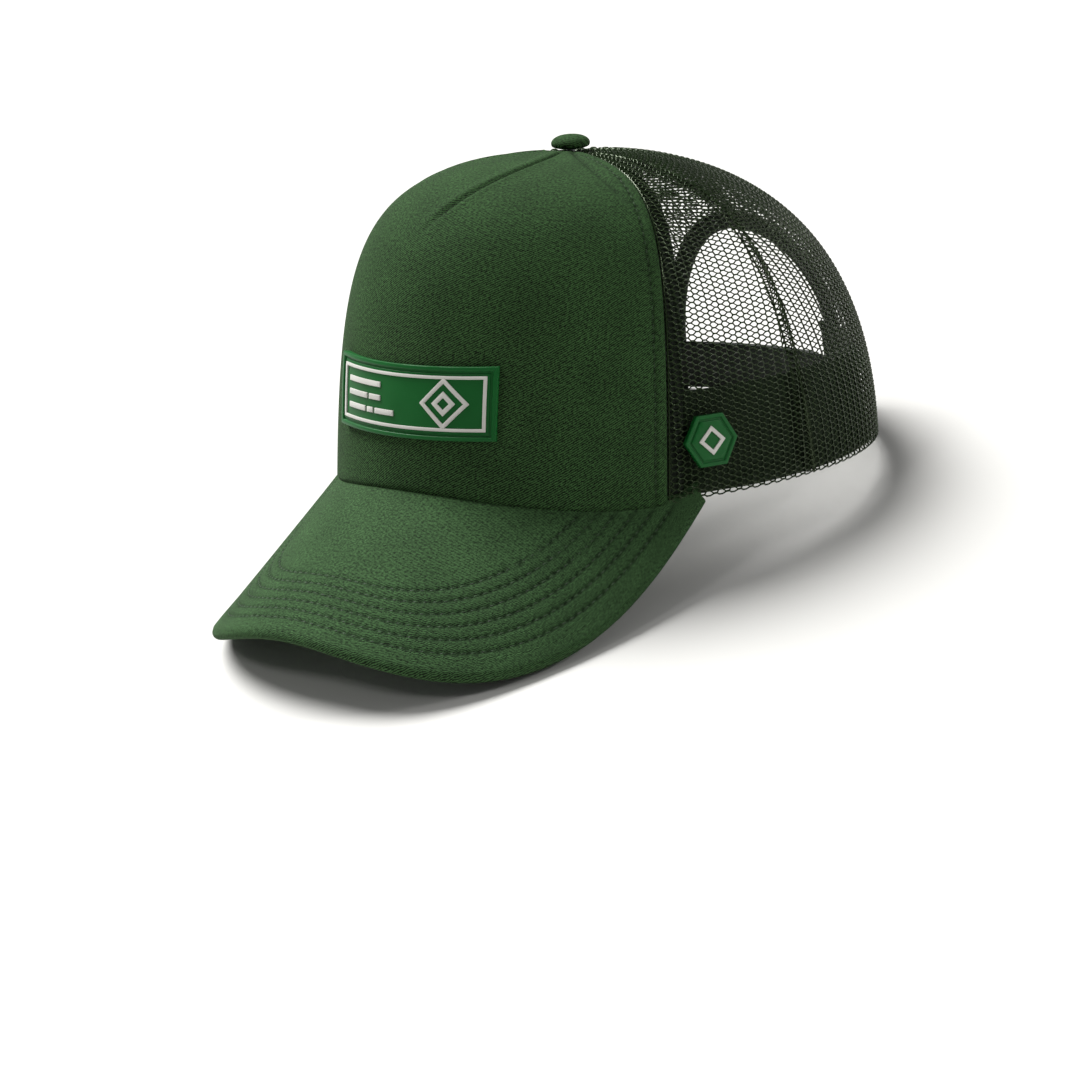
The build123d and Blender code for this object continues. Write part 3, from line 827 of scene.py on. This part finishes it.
def brimOutline(count):
    reach = templeY + crown["halfLength"] + brim["reach"]
    a = np.linspace(-pi / 2, pi / 2, 4001)
    x = brim["halfWidth"] * np.abs(np.sin(a)) ** (2 / brim["corner"][0]) * np.sign(a)
    forward = reach * np.maximum(np.cos(a), 0) ** (2 / brim["corner"][1])
    near = np.maximum(1 - forward / reach / 0.55, 0)
    x = x * (1 - (1 - (templeX + brim["ear"]) / brim["halfWidth"]) * near**2)
    line = np.stack([x, templeY - forward], 1)
    run = runLength(line)
    return pointsAt(line, run, np.linspace(0, run[-1], count))


fineOutline = brimOutline(1201)


def outwardOf(line):  # square to a line in plan, away from the crown
    way = np.gradient(line, axis=0)
    return unit(np.stack([way[:, 1], -way[:, 0]], 1))


def edgeDistance(x, y):  # plan distance to the brim's outer edge
    best = np.full(x.shape, 1e9)
    for px, py in fineOutline:
        best = np.minimum(best, (x - px) ** 2 + (y - py) ** 2)
    return np.sqrt(best)


def onBrim(x, y):
    return np.stack([x, y, brimHeight(x, y)], 1)


def brimNormal(x, y):
    step = 1e-3
    slopeX = (brimHeight(x + step, y) - brimHeight(x - step, y)) / (2 * step)
    slopeY = (brimHeight(x, y + step) - brimHeight(x, y - step)) / (2 * step)
    return unit(np.stack([-slopeX, -slopeY, np.ones_like(slopeX)], -1))


def brimPuff(x, y):  # the cover is drawn down along each row of stitches and swells between them
    away = edgeDistance(x, y)
    line = sum(dip(away - row, covers["grooveWidth"]) for row in covers["rows"])
    return covers["groove"] * line - 0.06 - 0.18 * dip(away - 2.8, 2.2), line


def brimRow(row):  # one line of stitching, on the brim's plain top surface, and its normals
    outer = brimOutline(1601)
    x, y = (outer - outwardOf(outer) * row).T
    c = -y / crown["halfLength"]
    outside = (x / (crown["halfWidth"] * (1 + crown["egg"] * c))) ** 2 + c**2 > 1.03
    there = outside & (edgeDistance(x, y) > row - 0.15) & (y < templeY + 3)
    x, y = x[there], y[there]
    return onBrim(x, y), brimNormal(x, y)


def makeBrim():
    lines = [brimRow(row) for row in covers["rows"]]
    holes = np.concatenate([needleHoles(face, thread) for face, _ in lines])
    half = brim["thick"] / 2
    across = covers["across"]
    edge = brimOutline(across + 1)
    outward = outwardOf(edge)
    t = brim["temple"] * np.linspace(-1, 1, across + 1)
    back = np.stack(rim(t), 1)
    back = back * (1 - covers["tuck"] / np.linalg.norm(back, axis=1, keepdims=True))
    inner = edge - outward * half
    levels = covers["fine"] + covers["coarse"]
    total = levels + covers["roll"] + covers["turned"]

    def place(i, j):
        k = np.round(i * across).astype(int)
        step = np.round(j * total)
        # from the crown to the edge: wide steps first, fine ones over the stitched rows
        f = np.where(step <= covers["coarse"], step / covers["coarse"] * 0.45,
                     0.45 + 0.55 * (step - covers["coarse"]) / covers["fine"])
        f = np.clip(f, 0, 1)
        x = back[k, 0] + (inner[k, 0] - back[k, 0]) * f
        y = back[k, 1] + (inner[k, 1] - back[k, 1]) * f
        beyond = np.maximum(step - levels - covers["roll"], 0) / covers["turned"] * covers["lip"]
        x, y = x - outward[k, 0] * beyond, y - outward[k, 1] * beyond
        out = np.stack([outward[k, 0], outward[k, 1], np.zeros(len(k))], 1)
        normal = brimNormal(x, y)
        out = unit(out - normal * np.sum(out * normal, 1, keepdims=True))
        turn = np.clip((step - levels) / covers["roll"], 0, 1)[:, None] * pi
        surface = onBrim(x, y)
        hole = dip(nearest(surface, holes), covers["pitWidth"])
        puff, line = brimPuff(x, y)
        onTop = step <= levels
        depth = ((puff + covers["pit"] * hole) * onTop)[:, None]
        # painted shade: the stitch grooves and needle holes on the top are darkened in colour
        paintedCreaseShade = np.clip(0.35 * line + 0.6 * hole, 0, 1) * onTop
        turned = out * half * np.sin(turn) - normal * (half * (1 - np.cos(turn)) + depth)
        return surface + turned, paintedCreaseShade

    top = sheetPiece("brim_top_cloth", across, total, lambda i, j: place(1 - i, j))
    thicken(top, covers["top"])
    smooth(top)
    finishPiece(top, "brim", "brim_fabric", "brim_top_cover")

    lower = edge - outward * (half + covers["underGap"])

    def placeUnder(i, j):
        k = np.round(i * across).astype(int)
        x = back[k, 0] + (lower[k, 0] - back[k, 0]) * j
        y = back[k, 1] + (lower[k, 1] - back[k, 1]) * j
        normal = brimNormal(x, y)
        away = edgeDistance(x, y)
        pull = sum(0.25 * dip(away - row, 0.8) for row in covers["rows"])
        depth = brim["thick"] - 0.05 - pull - 0.35 * dip(away - half - covers["underGap"], 1.0)
        return onBrim(x, y) - normal * depth[:, None]

    under = sheetPiece("brim_under_cloth", across // 2, 70, placeUnder)
    thicken(under, covers["under"], 1.0)
    editPiece(under, (bpy.ops.mesh.normals_make_consistent, {"inside": False}))
    smooth(under)
    finishPiece(under, "brim", "brim_fabric", "brim_under_cover")

    rows, below = [], []
    for face, normal in lines:
        depth = brimPuff(face[:, 0], face[:, 1])[0][:, None]
        rows.append(stitchRow("brim_stitches", face - normal * depth, normal))
        below.append(stitchRow("brim_stitches_under", face - normal * (brim["thick"] - 0.1), -normal))
    finishPiece(joinPieces(*rows), "thread", "brim_fabric")
    finishPiece(joinPieces(*below), "thread", "brim_fabric")
    print("brim made")


# circle is the radius of the crown's back; bendZone is a distance each side of a strap's hinge
strap = {
    "circle": 91.8, "low": 1.7, "high": 18.7, "thick": 1.2, "gap": 0.3, "outerDepth": 2.45,
    "hingeInset": 2.0, "tab": 9.0, "pitch": 7.5, "count": 7, "tip": 4.6,
    "hole": 5.4, "stud": 4.1, "studRise": 1.7, "studRoot": 0.2, "corner": 5.0, "bendZone": 4.0,
    "edge": {"holes": 0.22, "studs": 0.3},
}


def strapBlank(name, start, end, holes):
    # flat: x runs along the strap and y up it; each hole sits in a square of its own
    half, pitch, tip = (strap["high"] - strap["low"]) / 2, strap["pitch"], strap["corner"]
    points, faces = [], []

    def addGrid(xs, high=9):
        base = len(points)
        for x in xs:
            inset = max(x - (end - tip), 0)
            tall = half - (tip - np.sqrt(max(tip**2 - inset**2, 0)))
            points.extend((x, y * tall, 0) for y in np.linspace(-1, 1, high))
        for a in range(len(xs) - 1):
            for k in range(base + a * high, base + a * high + high - 1):
                faces.append((k, k + high, k + high + 1, k + 1))

    def addHole(x, sides=32, rings=4):
        base = len(points)
        for f in np.arange(rings + 1) / rings:
            for a in 2 * pi * np.arange(sides) / sides:
                c, s = cos(a), sin(a)
                size = 1 / max(abs(c), abs(s))
                cx, cy = strap["hole"] / 2 * c, strap["hole"] / 2 * s
                dx, dy = pitch / 2 * c * size - cx, half * s * size - cy
                points.append((x + cx + dx * f, cy + dy * f, 0))
        for ring in range(rings):
            for k in range(sides):
                a, b = base + ring * sides + k, base + ring * sides + (k + 1) % sides
                faces.append((a, a + sides, b + sides, b))

    if holes:
        addGrid(np.linspace(start, holes[0] - pitch / 2, 12))
        for x in holes:
            addHole(x)
        addGrid(np.append(np.linspace(holes[-1] + pitch / 2, end - 0.6, 5), [end - 0.25, end - 0.02]))
    else:
        addGrid(np.append(np.linspace(start, end - tip, 44),
                          end - tip * np.cos(np.linspace(0.1, pi / 2 - 0.02, 9))))
    piece = newMesh(name, points, faces)
    editPiece(piece, (bpy.ops.mesh.remove_doubles, {"threshold": 0.02}))
    return piece


def addStuds(piece, places):  # round pegs, each with a neck narrower than its snapping head
    tall, studs = strap["studRise"] + strap["studRoot"], []
    for x in places:
        stud = startPiece(bpy.ops.mesh.primitive_cylinder_add, "stud", vertices=24,
                          radius=strap["stud"] / 2, depth=tall,
                          location=(x, 0, strap["thick"] / 2 - strap["studRoot"] + tall / 2))
        bpy.ops.object.transform_apply(location=True, rotation=False, scale=False)
        applyModifier(stud, "BEVEL", width=0.45, segments=3, limit_method="ANGLE")
        shape = getPoints(stud)
        neck = 1 - 0.16 * dip(shape[:, 2] - 0.75, 0.45)
        shape[:, 0] = x + (shape[:, 0] - x) * neck
        shape[:, 1] *= neck
        setPoints(stud, shape)
        studs.append(stud)
    joinPieces(piece, *studs)


def makeStraps():
    outer = strap["circle"] - strap["outerDepth"] - strap["thick"] / 2
    inner = outer - strap["thick"] - strap["gap"]
    row = [strap["pitch"] * (k - (strap["count"] - 1) / 2) for k in range(strap["count"])]
    middle = crown["halfLength"] - strap["circle"]
    centreHeight = (strap["low"] + strap["high"]) / 2
    hinge = net["archHalf"] - strap["hingeInset"]
    for kind, radius, side, body in (("holes", outer, -1, "outer_strap"),
                                     ("studs", inner, 1, "inner_strap")):
        places = [x * radius / outer for x in row]
        piece = strapBlank(f"snap_strap_{kind}", -(hinge + strap["tab"]), places[-1] + strap["tip"],
                           places if kind == "holes" else [])
        applyModifier(piece, "SOLIDIFY", thickness=strap["thick"], offset=0)
        applyModifier(piece, "BEVEL", width=strap["edge"][kind], segments=2, limit_method="ANGLE",
                      angle_limit=radians(50))
        if kind == "studs":
            addStuds(piece, places)
        flat = getPoints(piece)
        angle, reach = -side * flat[:, 0] / radius, radius + flat[:, 2]
        setPoints(piece, toRow(np.stack([
            reach * np.sin(angle), middle + reach * np.cos(angle), centreHeight + flat[:, 1]], 1)))
        editPiece(piece, (bpy.ops.mesh.normals_make_consistent, {"inside": False}))
        smooth(piece, 40)
        finishPiece(piece, "strap", "strap_plastic", f"strap_with_{kind}", f"strap_tab_with_{kind}",
                    body=None)
        for away in (strap["bendZone"], -strap["bendZone"]):
            a = side * (hinge + away) / radius
            toRow([(radius * sin(a), middle + radius * cos(a), centreHeight)])[0]
        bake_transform(piece)
    print("snap strap made")


button = {"diameter": 13.0, "height": 5.0, "waist": 2.0, "pleats": 14, "pleat": 0.12}


def makeButton():
    radius, high = button["diameter"] / 2, button["height"]
    seat = crown["height"] + 0.15
    piece = startPiece(bpy.ops.mesh.primitive_uv_sphere_add, "button_cloth", segments=84,
                       ring_count=40, radius=1)
    p = getPoints(piece)
    angle = np.arctan2(p[:, 1], p[:, 0])
    level = p[:, 2]
    wide = np.hypot(p[:, 0], p[:, 1])
    # a flattened dome over a tucked-in lower edge
    tall = np.where(level > 0, np.abs(level), -np.abs(level) ** 0.8)
    waist = button["waist"]
    z = np.where(tall > 0, waist + tall * (high - waist), waist + tall * (waist - 0.1))
    size = radius * wide ** 0.85
    pleats = button["pleat"] * np.cos(angle * button["pleats"] + 0.7 * np.sin(angle * 3))
    size = size + pleats * dip(level + 0.45, 0.4) * (wide > 0.2)
    points = np.stack([size * np.cos(angle), size * np.sin(angle) - crown["buttonForward"],
                       seat + z], 1)
    setPoints(piece, toRow(points))
    flatUv(piece, np.stack([points[:, 0] * 1.1, points[:, 1] * 1.1 + z], 1))
    smooth(piece)
    finishPiece(piece, "front", "button_fabric", "button_cover")
    print("button made")


patch = {
    "halfWidth": 31.8, "low": 23.6, "high": 46.6, "base": -1.3,
    # the moulding is stiffer than the foam: its middle sinks in and its ends stand off a little
    "sink": 0.3, "stand": 0.9, "frameInset": 2.9, "frameWidth": 1.0,
    # inset from the edge and height of each step: rim, groove, raised face
    "steps": ((0.0, 1.75), (0.15, 1.9), (1.15, 1.9), (1.3, 1.75), (1.45, 1.15), (2.0, 1.15),
              (2.15, 1.45), (2.3, 1.5)),
    "bars": ((4.2, (17.0,)), (0.0, (10.5, 5.5)), (-4.2, (9.5, 3.0, 8.5))),
    "barHeight": 1.7, "barGap": 1.0, "barInset": 6.3,
    "diamond": (16.0, ((8.1, 6.3), (3.9, 1.9))), "rise": 0.45, "sunk": 0.1, "bevel": 0.12,
}
badge = {
    "azimuth": 1.178, "height": 17.7, "radius": 9.4, "base": -0.5,
    "steps": ((0.0, 1.35), (0.15, 1.5), (1.0, 1.5), (1.15, 1.35), (1.3, 0.85), (1.85, 0.85),
              (2.0, 1.2), (2.15, 1.3)),
    "diamond": (4.7, 3.0), "rise": 0.45, "sunk": 0.1, "bevel": 0.1,
}


def steppedPlate(name, sides, radius, scale, steps, base):
    # an upright outline drawn in x and y, stepped inward ring by ring with edit-mode insets
    piece = startPiece(bpy.ops.mesh.primitive_circle_add, name, vertices=sides, radius=radius,
                       fill_type="NGON", rotation=(0, 0, scale[2]))
    bpy.ops.object.transform_apply(location=False, rotation=True, scale=False)
    shape = getPoints(piece)
    setPoints(piece, shape * (scale[0], scale[1], 1) + (0, 0, base))
    bpy.ops.object.mode_set(mode="EDIT")
    bpy.ops.mesh.select_mode(type="FACE")
    bpy.ops.mesh.select_all(action="SELECT")
    bpy.ops.mesh.extrude_region_move(TRANSFORM_OT_translate={"value": (0, 0, steps[0][1] - base)})
    for (was, low), (now, high) in zip(steps, steps[1:]):
        bpy.ops.mesh.inset(thickness=now - was, depth=high - low)
    bpy.ops.object.mode_set(mode="OBJECT")
    return piece


def frameShape(name, outer, inner, low, high):  # a closed ring between two outlines of four points
    points = [(x, y, z) for z in (low, high) for ring in (outer, inner) for x, y in ring]
    faces = []
    for k in range(4):
        n = (k + 1) % 4
        faces += [(k, n, n + 8, k + 8), (4 + n, 4 + k, 12 + k, 12 + n),
                  (8 + k, 8 + n, 12 + n, 12 + k), (n, k, 4 + k, 4 + n)]
    return newMesh(name, points, faces)


def barShape(name, x0, x1, y0, y1, low, high):
    piece = startPiece(bpy.ops.mesh.primitive_cube_add, name, size=1,
                       location=((x0 + x1) / 2, (y0 + y1) / 2, (low + high) / 2),
                       scale=(x1 - x0, y1 - y0, high - low))
    bpy.ops.object.transform_apply(location=True, rotation=False, scale=True)
    return piece


def diamondPoints(x, size):
    return [(x + size, 0), (x, size), (x - size, 0), (x, -size)]


def layTrim(name, base, marks, bevel, reach, place):
    # small moulded radii, then enough cuts for each piece to follow the crown's curve
    step = 1.6
    for piece, finish, part in ((base, "green", "base"), (marks, "white", name[1])):
        editPiece(piece, (bpy.ops.mesh.normals_make_consistent, {"inside": False}))
        applyModifier(piece, "BEVEL", width=bevel, segments=2, limit_method="ANGLE",
                      angle_limit=radians(35))
        for axis in (0, 1):
            for cut in np.arange(-reach[axis] + step / 2, reach[axis], step):
                at, way = [0, 0, 0], [0, 0, 0]
                at[axis], way[axis] = cut, 1
                editPiece(piece, (bpy.ops.mesh.bisect, {"plane_co": at, "plane_no": way}))
        setPoints(piece, toRow(place(getPoints(piece))))
        smooth(piece, 40)
        finishPiece(piece, finish, f"patch_{finish}", f"{name[0]}_{part}")


def makePatch():
    centre = (patch["low"] + patch["high"]) / 2
    wide, tall = patch["halfWidth"], (patch["high"] - patch["low"]) / 2
    base = steppedPlate("patch_moulding", 4, 2**0.5, (wide, tall, pi / 4), patch["steps"],
                        patch["base"])
    floor = patch["steps"][-1][1]
    low, high = floor - patch["sunk"], floor + patch["rise"]
    ring = []
    for inset in (patch["frameInset"], patch["frameInset"] + patch["frameWidth"]):
        w, h = wide - inset, tall - inset
        ring.append([(w, h), (-w, h), (-w, -h), (w, -h)])
    marks = [frameShape("patch_marks", *ring, low, high)]
    for drop, bars in patch["bars"]:
        x = -wide + patch["barInset"]
        for length in bars:
            marks.append(barShape("bar", x, x + length, drop - patch["barHeight"] / 2,
                                  drop + patch["barHeight"] / 2, low, high))
            x += length + patch["barGap"]
    x, rings = patch["diamond"]
    for big, small in rings:
        marks.append(frameShape("diamond", diamondPoints(x, big), diamondPoints(x, small), low, high))
    joinPieces(*marks)

    def onFront(flat):
        px, pz = flat[:, 0], centre + flat[:, 1]
        t, u = crownAt(px, pz, px / 95, pz / 200 + 0.1)
        return crownPoint(t, u, patch["sink"] - patch["stand"] * (px / wide) ** 2 - flat[:, 2])

    layTrim(("patch", "lines"), base, marks[0], patch["bevel"], (wide, tall), onFront)
    print("front patch made")


def makeBadge():
    t, radius = badge["azimuth"], badge["radius"]
    u = float(heightAt(np.array(t), badge["height"]))
    middle, out = skin(t, u), crownNormal(t, u)
    level = unit(np.cross((0, 0, 1), out))
    up = np.cross(out, level)
    base = steppedPlate("badge_moulding", 6, radius, (1, 1, pi / 6), badge["steps"], badge["base"])
    floor = badge["steps"][-1][1]
    mark = frameShape("badge_marks", *[diamondPoints(0, size) for size in badge["diamond"]],
                      floor - badge["sunk"], floor + badge["rise"])

    def onSide(flat):
        want = middle + flat[:, :1] * level + flat[:, 1:2] * up
        tt, uu = np.full(len(flat), t), np.full(len(flat), u)
        for _ in range(12):  # walk over the crown until the point lies straight behind the one wanted
            here = skin(tt, uu)
            gap = want - here
            byT, byU = (skin(tt + 1e-4, uu) - here) / 1e-4, (skin(tt, uu + 1e-4) - here) / 1e-4
            tt = tt + (gap @ level) / (byT @ level)
            uu = uu + (gap @ up) / (byU @ up)
        return crownPoint(tt, uu, -flat[:, 2])

    layTrim(("badge", "mark"), base, mark, badge["bevel"], (radius, radius), onSide)
    print("side badge made")


def dressCadNodes():
    for node, finish in (("brim_board", "board"), ("button_shell", "steel"), ("button_rivet", "steel")):
        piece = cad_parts[node]
        piece.data.materials.clear()
        piece.data.materials.append(finishes[finish])
    print("board, shell and rivet finished")


studio = {
    "floor": ("#cbcac6", "#cfcecb"), "size": 8.0,
    "key": ((-0.7, 0.12, 1.0), 6.0, 34),  # where it shines from, strength, spread in degrees
    # name, place, aimed at, width, height, watts
    "lights": (("leftStrip", (-0.1, -0.85, 0.95), (0, 0, 0.06), 0.2, 0.2, 1.6),
               ("rightStrip", (1.0, 0.5, 0.6), (0, 0.03, 0.06), 0.25, 0.25, 4)),
    "sky": "#f4f5f7", "skyStrength": 0.2,
}
view = {"azimuth": 42.94, "elevation": 22.54, "roll": -10.95, "distance": 0.9620,
        "lookAt": (0.0110, -0.0197, 0.0072), "lens": 97.2}


def makeStudio():
    floor = startPiece(bpy.ops.mesh.primitive_plane_add, "floor", size=studio["size"])
    material, tree = newMaterial("paintedFloor")
    place = addNode(tree, "ShaderNodeTexCoord").outputs["Object"]
    cloud = addNode(tree, "ShaderNodeTexNoise", {
        "Vector": place, "Scale": 3.0, "Detail": 2.0}).outputs["Fac"]
    dark, light = map(colour, studio["floor"])
    paint = addNode(tree, "ShaderNodeMix", {0: cloud, 6: dark, 7: light}, data_type="RGBA")
    floor.data.materials.append(closeMaterial(material, {
        "Base Color": paint.outputs[2], "Roughness": 0.7}))
    direction, strength, spread = studio["key"]
    bpy.ops.object.light_add(type="SUN", location=direction)
    key = bpy.context.object
    key.name = "broadOverheadKey"
    key.data.energy, key.data.angle = strength, radians(spread)
    key.rotation_euler = (-Vector(direction)).to_track_quat("-Z", "Y").to_euler()
    for name, place, aim, width, height, watts in studio["lights"]:
        bpy.ops.object.light_add(type="AREA", location=place)
        lamp = bpy.context.object
        lamp.name = name
        lamp.data.shape, lamp.data.size, lamp.data.size_y = "RECTANGLE", width, height
        lamp.data.energy = watts
        lamp.rotation_euler = (Vector(aim) - Vector(place)).to_track_quat("-Z", "Y").to_euler()
    world = bpy.context.scene.world or bpy.data.worlds.new("studio")
    bpy.context.scene.world = world
    world.use_nodes = True
    sky = world.node_tree.nodes["Background"]
    sky.inputs["Color"].default_value = colour(studio["sky"])
    sky.inputs["Strength"].default_value = studio["skyStrength"]
    bpy.context.scene.view_settings.view_transform = "Standard"
    print("studio made")


def makeCamera():
    a, e = radians(view["azimuth"]), radians(view["elevation"])
    back = Vector((sin(a) * cos(e), -cos(a) * cos(e), sin(e)))
    bpy.ops.object.camera_add(location=Vector(view["lookAt"]) + back * view["distance"])
    camera = bpy.context.object
    level = (-back).to_track_quat("-Z", "Y").to_matrix()
    camera.rotation_euler = (level @ Matrix.Rotation(radians(view["roll"]), 3, "Z")).to_euler()
    camera.data.lens, camera.data.sensor_width = view["lens"], 36
    camera.data.clip_start = 0.01
    bpy.context.scene.camera = camera
    print("camera placed")


makeCamera()
makeStudio()
makeFront()
makeNets()
makeTapes()
makeBinding()
makeSweatband()
makeBrim()
makeStraps()
makeButton()
makePatch()
makeBadge()
dressCadNodes()
